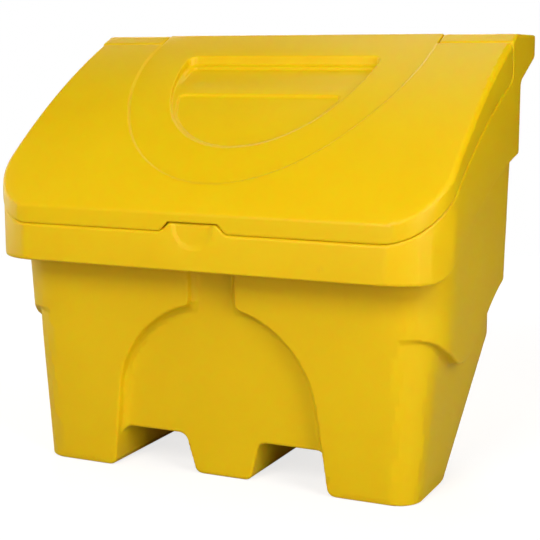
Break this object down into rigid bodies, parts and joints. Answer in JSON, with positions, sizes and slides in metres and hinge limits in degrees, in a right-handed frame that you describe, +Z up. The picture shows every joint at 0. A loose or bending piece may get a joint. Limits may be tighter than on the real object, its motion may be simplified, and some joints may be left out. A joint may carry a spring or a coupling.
{
  "type": "grit salt bin",
  "caption": "Moulded outdoor bin for grit or salt, with a sloping rear-hinged lid, a wide rim, an arched front and fork channels under its base.",
  "frame": {"origin": "on the ground, at the middle of the bin's overall width and depth", "axes": "+X is the bin's right seen from the front, +Y its rear, +Z up"},
  "size_m": [0.7, 0.49, 0.6448],
  "materials": {
    "tub_plastic": "satin moulded polyethylene, yellow",
    "lid_plastic": "satin moulded polyethylene, yellow",
    "hinge_steel": "bright zinc plated",
    "cap_steel": "dull zinc plated"
  },
  "bodies": {
    "tub": {"tub": "tub_plastic", "hinge_rod": "hinge_steel", "hinge_cap_left": "cap_steel", "hinge_cap_right": "cap_steel"},
    "lid": {"lid": "lid_plastic"}
  },
  "joints": [
    {"name": "lid_hinge", "type": "hinge", "parent": "tub", "child": "lid", "pos_m": [0, 0.122, 0.628], "axis": [-1, 0, 0], "range_deg": [0, 110]}
  ]
}
